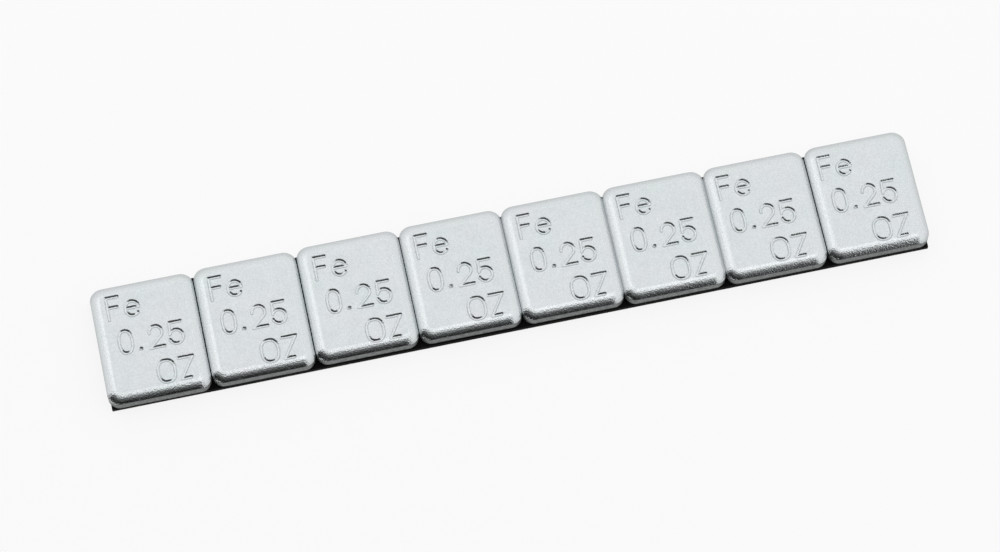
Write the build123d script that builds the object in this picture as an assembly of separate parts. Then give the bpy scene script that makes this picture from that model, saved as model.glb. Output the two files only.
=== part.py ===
from build123d import *
from math import atan2, sin
import os

# Adhesive wheel balance weight: stamped steel slugs stuck in a row on one foam tape.
# Millimetres, +Z up. X runs along the strip and Y across it, from its front edge to its back edge.
# The origin is under the middle of the strip, on the face that it rests on, the release liner's underside.

# Width of the strip across the slugs. The tape follows it.
STRIP_WIDTH = 19.0

# Slug, the steel weight. Its thickness makes each one weigh a quarter of an ounce.
SLUG_COUNT = 8
SLUG_LENGTH = 16.1
SLUG_THICKNESS = 3.1
CORNER_RADIUS = 1.8

# Rounded shoulder round the slug's top: how far in from the side it starts and how far down it ends.
# It is an arc that leaves the flat face smoothly and meets the upright side in a sharp crease.
SHOULDER_INSET = 1.75
SHOULDER_DROP = 0.8

# Corner radius of the flat face inside the shoulder. The shoulder dips a little further at the corners.
FLAT_CORNER_RADIUS = 0.5

# Rounding of the slug's bottom edge.
FOOT_RADIUS = 0.45

# Room between two slugs, where the strip bends or is cut.
SLUG_GAP = 0.095

# The slugs are laid a little unevenly: each one's shift along the strip, as a share of the gap,
# and its shift across the strip.
LAY_ALONG = (0.0, 0.7, 1.3, 1.55, 1.1, 0.3, -0.5, 0.0)
LAY_ACROSS = (-0.2, -0.05, 0.1, 0.15, 0.1, 0.0, -0.05, -0.05)

# Foam tape and the release liner under it. Both stop a little short of the slugs' sides and ends, and
# lie a little forward of the slugs.
TAPE_THICKNESS = 0.9
TAPE_SIDE_INSET = 0.2
TAPE_END_INSET = 0.25
TAPE_FORWARD = 0.2
LINER_THICKNESS = 0.1

# Worked out from the sizes above.
SLUG_PITCH = SLUG_LENGTH + SLUG_GAP
ROW_LENGTH = SLUG_COUNT * SLUG_PITCH - SLUG_GAP
TAPE_LENGTH = ROW_LENGTH - 2 * TAPE_END_INSET
TAPE_WIDTH = STRIP_WIDTH - 2 * TAPE_SIDE_INSET
TAPE_BOTTOM = LINER_THICKNESS
SLUG_BOTTOM = TAPE_BOTTOM + TAPE_THICKNESS


def rounded_block(margin, corner_radius, bottom, top):
    """Upright block over the slug's length and width, grown by a margin all round."""
    length = SLUG_LENGTH + 2 * margin
    width = STRIP_WIDTH + 2 * margin
    outline = RectangleRounded(length, width, corner_radius)
    return Pos(0, 0, bottom) * extrude(outline, top - bottom)


def slug():
    """One steel slug, centred on the origin with its underside at Z = 0."""
    end_slope = 2 * atan2(SHOULDER_DROP, SHOULDER_INSET)
    shoulder_radius = SHOULDER_INSET / sin(end_slope)

    # The shoulder is a full round on a slightly larger block, cut off by the slug's upright sides.
    margin = shoulder_radius - SHOULDER_INSET
    crown_corner = FLAT_CORNER_RADIUS + shoulder_radius
    crown = rounded_block(margin, crown_corner, -shoulder_radius, SLUG_THICKNESS)
    crown = fillet(crown.edges().group_by(Axis.Z)[-1], shoulder_radius)

    body = rounded_block(0, CORNER_RADIUS, 0, SLUG_THICKNESS)
    body = fillet(body.edges().group_by(Axis.Z)[0], FOOT_RADIUS)
    return body & crown


def slug_place(index):
    """Where one slug lies on the tape, counted from the left end."""
    lay = index % len(LAY_ALONG)
    along = (index - (SLUG_COUNT - 1) / 2) * SLUG_PITCH + LAY_ALONG[lay] * SLUG_GAP
    return Pos(along, LAY_ACROSS[lay], SLUG_BOTTOM)


def tape_layer(bottom, thickness):
    """Flat strip with square-cut ends, the shape of the foam tape and of its liner."""
    layer = Box(TAPE_LENGTH, TAPE_WIDTH, thickness, align=(Align.CENTER, Align.CENTER, Align.MIN))
    return Pos(0, -TAPE_FORWARD, bottom) * layer


def pieces():
    """Every piece of the strip, by its node name."""
    named = {
        "foam_tape": tape_layer(TAPE_BOTTOM, TAPE_THICKNESS),
        "release_liner": tape_layer(0, LINER_THICKNESS),
    }
    stamped = slug()
    for index in range(SLUG_COUNT):
        named[f"weight_{index + 1}"] = slug_place(index) * stamped
    return named


os.makedirs("parts", exist_ok=True)
for node, piece in pieces().items():
    export_step(piece, f"parts/{node}.step")
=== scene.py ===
from math import cos, pi, radians, sin

import bmesh
import bpy
import numpy as np
from mathutils import Matrix, Vector


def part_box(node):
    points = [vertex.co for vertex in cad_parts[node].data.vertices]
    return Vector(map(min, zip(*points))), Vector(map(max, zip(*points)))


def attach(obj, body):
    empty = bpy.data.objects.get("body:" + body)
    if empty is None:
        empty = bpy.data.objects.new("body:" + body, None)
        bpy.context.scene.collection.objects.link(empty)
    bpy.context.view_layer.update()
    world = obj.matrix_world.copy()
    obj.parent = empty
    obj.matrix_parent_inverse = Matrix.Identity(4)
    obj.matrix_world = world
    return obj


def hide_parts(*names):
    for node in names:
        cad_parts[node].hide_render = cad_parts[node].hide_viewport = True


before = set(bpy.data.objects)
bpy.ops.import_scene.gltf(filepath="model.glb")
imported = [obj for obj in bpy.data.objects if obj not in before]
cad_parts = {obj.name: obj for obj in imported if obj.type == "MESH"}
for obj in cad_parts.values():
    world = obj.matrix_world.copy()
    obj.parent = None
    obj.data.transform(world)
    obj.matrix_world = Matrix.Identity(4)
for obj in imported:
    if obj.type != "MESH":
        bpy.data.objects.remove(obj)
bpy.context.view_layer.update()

# Adhesive wheel weight strip: zinc-plated steel slugs with stamped marks, stuck on a black foam tape
# that has a pale release liner under it. Metres, +Z up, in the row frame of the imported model.

MM = 0.001
SLUG_NODES = sorted(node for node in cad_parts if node.startswith("weight_"))

# Form of a slug, as in the solids. Its length, width and height come from the solid's box.
CORNER_RADIUS = 1.8 * MM
SHOULDER_INSET = 1.75 * MM
SHOULDER_DROP = 0.8 * MM
FLAT_CORNER_RADIUS = 0.5 * MM
FOOT_RADIUS = 0.45 * MM

# Fineness of the slug's mesh: squares of the sheet, cuts across each square under a stroke, foot rings.
SHEET_STEP = 0.16 * MM
STROKE_CUTS = 2
FOOT_RINGS = 4

# Stamped strokes, a groove with sloping walls: half its width, and a wall's width seen from above with its
# depth. The strokes have a flat bottom, and the dot runs to a point.
STROKE_HALF_WIDTH = 0.33 * MM
STROKE_WALL = (0.26 * MM, 0.22 * MM)
DOT_WALL = (0.33 * MM, 0.33 * MM)

# The generic marking, metal over weight over unit: each sign's left, foot, width and height in
# millimetres from the middle of the slug's face.
MARKING = (
    ("F", -5.7, 3.86, 1.8, 3.6),
    ("e", -3.02, 3.92, 2.12, 2.36),
    ("0", -4.86, -1.94, 2.0, 3.6),
    (".", -1.8, -1.69, 0.16, 0.0),
    ("2", -0.29, -1.92, 2.2, 3.45),
    ("5", 2.92, -1.94, 2.05, 3.5),
    ("0", 0.16, -7.8, 2.62, 3.5),
    ("Z", 3.58, -7.76, 2.2, 3.4),
)

# Where the stamp struck each slug, in millimetres aside and up from the marking's usual place.
STAMP_SHIFT = (
    (0.1, 0.1), (-0.1, -0.1), (0.1, -0.3), (-0.1, -0.1),
    (0.0, -0.1), (-0.2, 0.0), (-0.5, -0.1), (-0.5, -0.1),
)

# Points along a curved stroke, and how square the rings of the marking are: 2 is an ellipse.
BOW_POINTS = 33
RING_POWER = 2.5

# Rounding of the cut edges of the foam tape.
TAPE_EDGE_ROUND = 0.12 * MM
TAPE_EDGE_SEGMENTS = 3

# Zinc plate on the stamped face: two mottled tones, a fine dark speckle, and a painted shade line along the
# crease.
BLACK = (0, 0, 0, 1)
PLATE_TONES = ((0.655, 0.702, 0.704, 1), (0.681, 0.698, 0.72, 1))
PLATE_MOTTLE_SIZE = 5 * MM
SPECKLE_TONE = (0.44, 0.46, 0.47, 1)
SPECKLE_SIZE = 0.16 * MM
SPECKLE_SHARE = 0.4
CREASE_PAINTED_SHADE_TONE = (0.3, 0.31, 0.31, 1)
CREASE_PAINTED_SHADE_HEIGHT = 0.25 * MM
CREASE_PAINTED_SHADE_SHARE = 0.2

# Its gloss and its bumpy grain. Below the flat, over these depths, the plate turns glossier and a painted
# shade makes it darker.
PLATE_ROUGHNESS = (0.16, 0.22)
PLATE_WEAR_SIZE = 1.5 * MM
FLAT_FADE = (0.025 * MM, 0.005 * MM)
FLAT_ROUGHER = 0.33
SHOULDER_PAINTED_SHADE = 0.07
GRAIN_SIZE = 0.23 * MM
GRAIN_DEPTH = 0.045 * MM

# Zinc plate on the sheared side: its mottled tones, darkened partly as a duller sheared face and partly as
# painted shade, and its gloss; painted shade below its crease and at its foot, with the heights over which
# each fades.
SIDE_DULL_AND_PAINTED_SHADE_TONES = ((0.13, 0.14, 0.14, 1), (0.29, 0.3, 0.3, 1))
SIDE_MOTTLE_SIZE = 0.35 * MM
SIDE_ROUGHNESS = (0.5, 0.65)
SIDE_WEAR_SIZE = 0.6 * MM
SIDE_TOP_PAINTED_SHADE_TONE = (0.05, 0.05, 0.05, 1)
SIDE_TOP_PAINTED_SHADE_FADE = (0.3 * MM, 0.15 * MM)
SIDE_FOOT_PAINTED_SHADE_TONE = (0.02, 0.02, 0.02, 1)
SIDE_FOOT_PAINTED_SHADE_FADE = (0.45 * MM, 0.7 * MM)

# Foam with its cells, and release paper with its fibres.
FOAM_TONE = (0.006, 0.006, 0.006, 1)
FOAM_ROUGHNESS = 0.9
FOAM_SPECULAR = 0.1
FOAM_CELL_SIZE = 0.18 * MM
FOAM_CELL_DEPTH = 0.06 * MM
FOAM_CELL_STRENGTH = 0.6
PAPER_TONE = (0.86, 0.84, 0.78, 1)
PAPER_ROUGHNESS = (0.4, 0.55)
PAPER_FIBRE_SIZE = 2 * MM

# Camera: direction that it looks from, in degrees, how far off it is, and how far it is moved aside
# and up from the middle of the strip.
CAMERA_AZIMUTH = -11.95
CAMERA_ELEVATION = 70.0
CAMERA_DISTANCE = 575 * MM
CAMERA_ASIDE = -1.65 * MM
CAMERA_UP = -0.44 * MM
CAMERA_LENS = 133.0

# Studio: a pale floor, a white surround that dims from a height towards the floor, and a dark curved screen
# round the front, lighter towards its top and its right end, that the camera doesn't see.
FLOOR_HALF = 8.0
FLOOR_TONE = 0.96
FLOOR_GLOW = 0.9
SURROUND_HIGH = 1.2
SURROUND_LOW = 1.0
SURROUND_RISE = 0.5
SCREEN_REACH = 0.6
SCREEN_HEIGHT = 1.3
SCREEN_TURN = (-90, 30)
SCREEN_STRIPS = 24
SCREEN_DARK = 0.0
SCREEN_LIGHT = 0.8
SCREEN_FADE = (0.15, 0.4)

# Soft panels overhead: where each one hangs, how wide it is and how bright.
PANELS = {
    "left_panel": ((-0.42, 0.33, 0.87), 0.6, 0.28),
    "front_panel": ((0.15, -0.12, 0.98), 0.45, 0.4),
}


def bow(middle, half, start, end):
    """Points along part of an ellipse, between two angles in degrees."""
    turn = np.radians(np.linspace(start, end, BOW_POINTS))
    return list(zip(middle[0] + half[0] * np.cos(turn), middle[1] + half[1] * np.sin(turn)))


def ring():
    """Points round a closed ring that fills its box, a little squarer than an ellipse."""
    turn = np.linspace(0, 2 * pi, 2 * BOW_POINTS)
    across, upward = np.cos(turn), np.sin(turn)
    size = (np.abs(across) ** RING_POWER + np.abs(upward) ** RING_POWER) ** (1 / RING_POWER)
    return list(zip(0.5 + 0.5 * across / size, 0.5 + 0.5 * upward / size))


def signs():
    """Each sign of the marking as strokes through points, in a box of one by one."""
    return {
        "F": [[(0, 0), (0, 1), (1, 1)], [(0, 0.54), (0.84, 0.54)]],
        "e": [[(0, 0.55), (1, 0.55)] + bow((0.5, 0.5), (0.5, 0.5), 6, 318)],
        "0": [ring()],
        ".": [[(0, 0), (1, 1)]],
        "2": [bow((0.53, 0.7), (0.45, 0.3), 180, -35) + [(0, 0), (1, 0)]],
        "5": [[(0.97, 1), (0.1, 1), (0.04, 0.46)] + bow((0.48, 0.32), (0.52, 0.32), 145, -160)],
        "Z": [[(0, 1), (1, 1), (0, 0), (0.66, 0)]],
    }


def marking_strokes(shift):
    """The strokes of the whole marking with their walls, in metres from the middle of a slug's face."""
    drawn = signs()
    strokes = []
    for sign, left, foot, width, height in MARKING:
        wall = DOT_WALL if sign == "." else STROKE_WALL
        for points in drawn[sign]:
            strokes.append(((np.array(points) * (width, height) + (left, foot) + shift) * MM, wall))
    return strokes


def stroke_distance(points, stroke):
    """How far each point is from a stroke, seen from above."""
    nearest = np.full(len(points), np.inf)
    for start, end in zip(stroke[:-1], stroke[1:]):
        along = end - start
        share = np.clip((points - start) @ along / (along @ along), 0, 1)
        gap = points - start - share[:, None] * along
        nearest = np.minimum(nearest, np.hypot(gap[:, 0], gap[:, 1]))
    return nearest


def stamped_depth(points, strokes):
    """How deep the stamp has pressed the face in at each point."""
    pressed = np.zeros(len(points))
    for stroke, (run, depth) in strokes:
        inside = STROKE_HALF_WIDTH - stroke_distance(points, stroke)
        pressed = np.maximum(pressed, depth * np.clip(inside / run, 0, 1))
    return pressed


def fine_sheet(length, width, strokes):
    """Flat sheet of small squares, cut finer along the strokes."""
    columns = round(length / SHEET_STEP)
    rows = round(width / SHEET_STEP)
    sheet = bmesh.new()
    across = [(i / columns - 0.5) * length for i in range(columns + 1)]
    upward = [(j / rows - 0.5) * width for j in range(rows + 1)]
    grid = [[sheet.verts.new((x, y, 0)) for x in across] for y in upward]
    for j in range(rows):
        for i in range(columns):
            sheet.faces.new((grid[j][i], grid[j][i + 1], grid[j + 1][i + 1], grid[j + 1][i]))
    faces = list(sheet.faces)
    middles = np.array([face.calc_center_median()[:2] for face in faces])
    gaps = np.min([stroke_distance(middles, stroke) for stroke, _ in strokes], axis=0)
    near = gaps < STROKE_HALF_WIDTH + SHEET_STEP
    edges = {edge for face, close in zip(faces, near) if close for edge in face.edges}
    bmesh.ops.subdivide_edges(sheet, edges=list(edges), cuts=STROKE_CUTS, use_grid_fill=True)
    return sheet


def round_corners(flat, core):
    """Moves the points of a flat rectangle so that its corners are round. The core rectangle's corners
    are the middles of the corner arcs."""
    out = np.maximum(np.abs(flat) - core, 0)
    reach = out.max(axis=1)
    turn = pi / 4 * out.min(axis=1) / np.maximum(reach, 1e-9)
    far = reach * np.cos(turn)
    near = reach * np.sin(turn)
    first = out[:, 0] >= out[:, 1]
    moved = np.column_stack((np.where(first, far, near), np.where(first, near, far)))
    return np.sign(flat) * (np.minimum(np.abs(flat), core) + moved)


def slug_form(length, width, height, strokes):
    """One slug centred on the origin with its underside at Z = 0: stamped face, shoulder, side and foot."""
    half = np.array((length, width)) / 2
    core = half - CORNER_RADIUS
    end_slope = 2 * np.arctan2(SHOULDER_DROP, SHOULDER_INSET)
    shoulder_radius = SHOULDER_INSET / sin(end_slope)

    form = fine_sheet(length, width, strokes)
    plan = round_corners(np.array([vertex.co[:2] for vertex in form.verts]), core)
    out = np.maximum(np.abs(plan) - (half - SHOULDER_INSET - FLAT_CORNER_RADIUS), 0)
    run = np.maximum(np.hypot(out[:, 0], out[:, 1]) - FLAT_CORNER_RADIUS, 0)
    drop = shoulder_radius - np.sqrt(shoulder_radius**2 - run**2)
    for vertex, (x, y), fall in zip(form.verts, plan, drop + stamped_depth(plan, strokes)):
        vertex.co = (x, y, height - fall)

    crease = [edge for edge in form.edges if edge.is_boundary]
    for edge in crease:
        edge.smooth = False
    rings = [(FOOT_RADIUS * (1 - cos(turn)), FOOT_RADIUS * (1 - sin(turn)))
             for turn in np.linspace(0, pi / 2, FOOT_RINGS + 1)]
    rim = crease
    for inward, level in rings:
        grown = bmesh.ops.extrude_edge_only(form, edges=rim)["geom"]
        rim = [part for part in grown if isinstance(part, bmesh.types.BMEdge)]
        for part in grown:
            if isinstance(part, bmesh.types.BMVert):
                spot = np.array(part.co[:2])
                middle = np.clip(spot, -core, core)
                outward = (spot - middle) / CORNER_RADIUS
                place = middle + outward * (CORNER_RADIUS - inward) if inward else spot
                part.co = (place[0], place[1], level)
            elif isinstance(part, bmesh.types.BMFace):
                part.material_index = 1
    bmesh.ops.edgeloop_fill(form, edges=rim, mat_nr=1)
    for face in form.faces:
        face.smooth = True
    bmesh.ops.recalc_face_normals(form, faces=form.faces)
    return form


def add_node(tree, kind, **settings):
    """Adds a shader node. A setting that names one of its sockets sets that, or links a socket to it."""
    node = tree.nodes.new(kind)
    for name, value in settings.items():
        socket = next((s for s in node.inputs if s.name.replace(" ", "_") == name and s.enabled), None)
        if socket is None:
            setattr(node, name, value)
        elif isinstance(value, bpy.types.NodeSocket):
            tree.links.new(value, socket)
        else:
            socket.default_value = value
    return node


def new_material(name):
    """A material with an empty tree, and its principled shader linked to the output."""
    material = bpy.data.materials.new(name)
    material.use_nodes = True
    tree = material.node_tree
    tree.nodes.clear()
    shader = tree.nodes.new("ShaderNodeBsdfPrincipled")
    output = tree.nodes.new("ShaderNodeOutputMaterial")
    tree.links.new(shader.outputs["BSDF"], output.inputs["Surface"])
    return material, tree, shader


def noise(tree, size, detail, seed=0.0):
    """Noise with spots of about the given size, which differ all along the strip."""
    place = add_node(tree, "ShaderNodeTexCoord").outputs["Object"]
    moved = add_node(tree, "ShaderNodeVectorMath", operation="ADD", Vector=place)
    moved.inputs[1].default_value = (seed, seed, seed)
    texture = add_node(
        tree, "ShaderNodeTexNoise", Vector=moved.outputs["Vector"], Scale=1 / size, Detail=detail
    )
    return texture.outputs["Fac"]


def ranged(tree, value, low, high, from_low=0.3, from_high=0.7):
    """A value spread over the range from low to high. Its usual limits are those of a noise."""
    limits = {"From_Min": from_low, "From_Max": from_high, "To_Min": low, "To_Max": high}
    node = add_node(tree, "ShaderNodeMapRange", Value=value, **limits)
    return node.outputs["Result"]


def blend(tree, share, first, second):
    """A colour between two others. Each is a colour or a socket that gives one."""
    mixed = add_node(tree, "ShaderNodeMix", data_type="RGBA", Factor=share, A=first, B=second)
    return mixed.outputs["Result"]


def along(tree, axis):
    """Place along an axis of the row frame, in metres."""
    place = add_node(tree, "ShaderNodeTexCoord").outputs["Object"]
    return add_node(tree, "ShaderNodeSeparateXYZ", Vector=place).outputs[axis]


def zinc_face(crease, top):
    """Zinc plate on the stamped face and its shoulder: faintly mottled, with a fine grain, and with painted
    shade in a thin line along the crease. The flat is more satin than the shoulder and the strokes, which
    painted shade also makes darker."""
    material, tree, shader = new_material("zinc_face")
    mottle = ranged(tree, noise(tree, PLATE_MOTTLE_SIZE, 2), 0, 1)
    plate = blend(tree, mottle, *PLATE_TONES)
    speckle = ranged(tree, noise(tree, SPECKLE_SIZE, 1, 4.0), 0, SPECKLE_SHARE)
    plate = blend(tree, speckle, plate, SPECKLE_TONE)
    flat = ranged(tree, along(tree, "Z"), 0, 1, top - FLAT_FADE[0], top - FLAT_FADE[1])
    # Painted shade: the shoulder and the strokes below the flat are darkened.
    plate = blend(tree, flat, blend(tree, SHOULDER_PAINTED_SHADE, plate, BLACK), plate)
    # Painted shade: a thin dark line along the crease.
    rim = ranged(tree, along(tree, "Z"), CREASE_PAINTED_SHADE_SHARE, 0, crease, crease + CREASE_PAINTED_SHADE_HEIGHT)
    tree.links.new(blend(tree, rim, plate, CREASE_PAINTED_SHADE_TONE), shader.inputs["Base Color"])
    shader.inputs["Metallic"].default_value = 1.0
    worn = ranged(tree, noise(tree, PLATE_WEAR_SIZE, 3, 1.0), *PLATE_ROUGHNESS)
    satin = add_node(tree, "ShaderNodeMath", operation="ADD")
    tree.links.new(worn, satin.inputs[0])
    tree.links.new(ranged(tree, flat, 0, FLAT_ROUGHER, 0, 1), satin.inputs[1])
    tree.links.new(satin.outputs["Value"], shader.inputs["Roughness"])
    grain = add_node(
        tree, "ShaderNodeBump", Height=noise(tree, GRAIN_SIZE, 1, 2.0), Strength=1.0, Distance=GRAIN_DEPTH
    )
    tree.links.new(grain.outputs["Normal"], shader.inputs["Normal"])
    return material


def zinc_side(foot, crease):
    """Zinc plate on the sheared side, which is rougher and darker, partly as a duller sheared face and
    partly by painted shade, with painted shade along its foot and under the crease.
    """
    material, tree, shader = new_material("zinc_side")
    mottle = ranged(tree, noise(tree, SIDE_MOTTLE_SIZE, 3, 3.0), 0, 1)
    # The side's tones are dark partly as a duller sheared face and partly as painted shade.
    plate = blend(tree, mottle, *SIDE_DULL_AND_PAINTED_SHADE_TONES)
    # Painted shade: a dark band just under the crease.
    high = ranged(tree, along(tree, "Z"), 0, 1, crease - SIDE_TOP_PAINTED_SHADE_FADE[0], crease - SIDE_TOP_PAINTED_SHADE_FADE[1])
    plate = blend(tree, high, plate, SIDE_TOP_PAINTED_SHADE_TONE)
    # Painted shade: the side turns near black along its foot.
    low = ranged(tree, along(tree, "Z"), 1, 0, foot + SIDE_FOOT_PAINTED_SHADE_FADE[0], foot + SIDE_FOOT_PAINTED_SHADE_FADE[1])
    tree.links.new(blend(tree, low, plate, SIDE_FOOT_PAINTED_SHADE_TONE), shader.inputs["Base Color"])
    shader.inputs["Metallic"].default_value = 1.0
    worn = ranged(tree, noise(tree, SIDE_WEAR_SIZE, 3), *SIDE_ROUGHNESS)
    tree.links.new(worn, shader.inputs["Roughness"])
    return material


def foam():
    """Matt black closed-cell foam."""
    material, tree, shader = new_material("black_foam")
    shader.inputs["Base Color"].default_value = FOAM_TONE
    shader.inputs["Roughness"].default_value = FOAM_ROUGHNESS
    shader.inputs["Specular IOR Level"].default_value = FOAM_SPECULAR
    bubbles = noise(tree, FOAM_CELL_SIZE, 2)
    cells = add_node(
        tree, "ShaderNodeBump", Height=bubbles, Strength=FOAM_CELL_STRENGTH, Distance=FOAM_CELL_DEPTH
    )
    tree.links.new(cells.outputs["Normal"], shader.inputs["Normal"])
    return material


def paper():
    """Pale release paper with a faint sheen."""
    material, tree, shader = new_material("liner_paper")
    shader.inputs["Base Color"].default_value = PAPER_TONE
    fibres = ranged(tree, noise(tree, PAPER_FIBRE_SIZE, 3), *PAPER_ROUGHNESS)
    tree.links.new(fibres, shader.inputs["Roughness"])
    return material


def floor_white():
    """Plain pale floor that keeps a faint shadow of the strip, and that looks the same in the metal."""
    material, tree, shader = new_material("floor_white")
    shader.inputs["Base Color"].default_value = (FLOOR_TONE, FLOOR_TONE, FLOOR_TONE, 1)
    shader.inputs["Roughness"].default_value = 1.0
    shader.inputs["Specular IOR Level"].default_value = 0.0
    rays = add_node(tree, "ShaderNodeLightPath").outputs
    seen = rays["Is Camera Ray"]
    for kind in ("Is Glossy Ray", "Is Transmission Ray"):
        larger = add_node(tree, "ShaderNodeMath", operation="MAXIMUM")
        tree.links.new(seen, larger.inputs[0])
        tree.links.new(rays[kind], larger.inputs[1])
        seen = larger.outputs["Value"]
    glow = add_node(tree, "ShaderNodeEmission", Color=(FLOOR_TONE, FLOOR_TONE, FLOOR_TONE, 1), Strength=1.0)
    mixed = add_node(tree, "ShaderNodeMixShader")
    tree.links.new(ranged(tree, seen, 0, FLOOR_GLOW, 0, 1), mixed.inputs[0])
    tree.links.new(shader.outputs["BSDF"], mixed.inputs[1])
    tree.links.new(glow.outputs["Emission"], mixed.inputs[2])
    output = next(node for node in tree.nodes if node.type == "OUTPUT_MATERIAL")
    tree.links.new(mixed.outputs["Shader"], output.inputs["Surface"])
    return material


def screen_dark():
    """Dim screen that is dark below and grows lighter towards its top and its right end."""
    material, tree, shader = new_material("screen_dark")
    share = ranged(tree, along(tree, "Z"), 0, 1, 0, SCREEN_HEIGHT)
    squared = add_node(tree, "ShaderNodeMath", operation="POWER")
    tree.links.new(share, squared.inputs[0])
    squared.inputs[1].default_value = 2.0
    upward = ranged(tree, squared.outputs["Value"], SCREEN_DARK, SCREEN_LIGHT, 0, 1)
    aside = ranged(tree, along(tree, "X"), 0, SCREEN_LIGHT, *SCREEN_FADE)
    brighter = add_node(tree, "ShaderNodeMath", operation="MAXIMUM")
    tree.links.new(upward, brighter.inputs[0])
    tree.links.new(aside, brighter.inputs[1])
    shader.inputs["Base Color"].default_value = BLACK
    shader.inputs["Specular IOR Level"].default_value = 0.0
    shader.inputs["Emission Color"].default_value = (1, 1, 1, 1)
    tree.links.new(brighter.outputs["Value"], shader.inputs["Emission Strength"])
    return material


def add_object(name, mesh, materials):
    """Links a mesh into the scene as an object that takes these materials."""
    for material in materials:
        mesh.materials.append(material)
    made = bpy.data.objects.new(name, mesh)
    bpy.context.scene.collection.objects.link(made)
    return made


def slugs():
    """A detailed slug in the place of each solid slug."""
    low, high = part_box(SLUG_NODES[0])
    crease = high.z - SHOULDER_DROP
    materials = (zinc_face(crease, high.z), zinc_side(low.z, crease))
    for node, shift in zip(SLUG_NODES, STAMP_SHIFT):
        low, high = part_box(node)
        form = slug_form(*(high - low), marking_strokes(shift))
        mesh = bpy.data.meshes.new(f"{node}_stamped")
        form.to_mesh(mesh)
        form.free()
        mesh.transform(Matrix.Translation(((low.x + high.x) / 2, (low.y + high.y) / 2, low.z)))
        piece = add_object(f"{node}_stamped", mesh, materials)
        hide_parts(node)
        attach(piece, "root")


def dress_solid(node, material):
    """Gives a solid that is kept its material."""
    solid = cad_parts[node]
    solid.data.materials.clear()
    solid.data.materials.append(material)
    return solid


def tape():
    """The tape and liner solids, with the tape's cut edges rounded."""
    foam_tape = dress_solid("foam_tape", foam())
    edges = foam_tape.modifiers.new("cut_edges", "BEVEL")
    edges.width = TAPE_EDGE_ROUND
    edges.segments = TAPE_EDGE_SEGMENTS
    dress_solid("release_liner", paper())


def stage_sheet(name, points, faces, material):
    """One stage piece with these points and faces."""
    mesh = bpy.data.meshes.new(name)
    mesh.from_pydata(points, [], faces)
    piece = add_object(name, mesh, (material,))
    return piece


def floor():
    """Square floor far wider than the view."""
    reach = FLOOR_HALF
    corners = [(-reach, -reach, 0), (reach, -reach, 0), (reach, reach, 0), (-reach, reach, 0)]
    stage_sheet("floor", corners, [(0, 1, 2, 3)], floor_white())


def screen():
    """Upright screen, curved round the front of the strip."""
    points = []
    for turn in np.radians(np.linspace(*SCREEN_TURN, SCREEN_STRIPS + 1)):
        for rise in (0, SCREEN_HEIGHT):
            points.append((SCREEN_REACH * sin(turn), -SCREEN_REACH * cos(turn), rise))
    faces = [(2 * i, 2 * i + 2, 2 * i + 3, 2 * i + 1) for i in range(SCREEN_STRIPS)]
    stage_sheet("dark_screen", points, faces, screen_dark()).visible_camera = False


def panel(name, place, size, radiance):
    """Round soft light that faces the strip."""
    light = bpy.data.lights.new(name, "AREA")
    light.shape = "DISK"
    light.size = size
    light.energy = radiance * pi * (pi * size**2 / 4)
    hung = bpy.data.objects.new(name, light)
    hung.location = place
    hung.rotation_euler = Vector(place).to_track_quat("Z", "Y").to_euler()
    bpy.context.scene.collection.objects.link(hung)


def surround():
    """White world that dims towards the floor."""
    world = bpy.data.worlds.new("surround")
    world.use_nodes = True
    tree = world.node_tree
    way = add_node(tree, "ShaderNodeTexCoord").outputs["Generated"]
    rise = add_node(tree, "ShaderNodeSeparateXYZ", Vector=way).outputs["Z"]
    background = tree.nodes["Background"]
    background.inputs["Color"].default_value = (1, 1, 1, 1)
    strength = ranged(tree, rise, SURROUND_LOW, SURROUND_HIGH, 0, SURROUND_RISE)
    tree.links.new(strength, background.inputs["Strength"])
    bpy.context.scene.world = world


def camera():
    """The camera at the photograph's viewing angle."""
    turn, rise = radians(CAMERA_AZIMUTH), radians(CAMERA_ELEVATION)
    right = Vector((cos(turn), sin(turn), 0))
    back = Vector((sin(turn) * cos(rise), -cos(turn) * cos(rise), sin(rise)))
    up = back.cross(right)
    lens = bpy.data.cameras.new("camera")
    lens.lens = CAMERA_LENS
    made = bpy.data.objects.new("camera", lens)
    made.matrix_world = Matrix((right, up, back)).transposed().to_4x4()
    made.location = right * CAMERA_ASIDE + up * CAMERA_UP + back * CAMERA_DISTANCE
    bpy.context.scene.collection.objects.link(made)
    bpy.context.scene.camera = made


camera()
slugs()
tape()
floor()
screen()
for panel_name, panel_setting in PANELS.items():
    panel(panel_name, *panel_setting)
surround()
bpy.context.scene.view_settings.view_transform = "Standard"
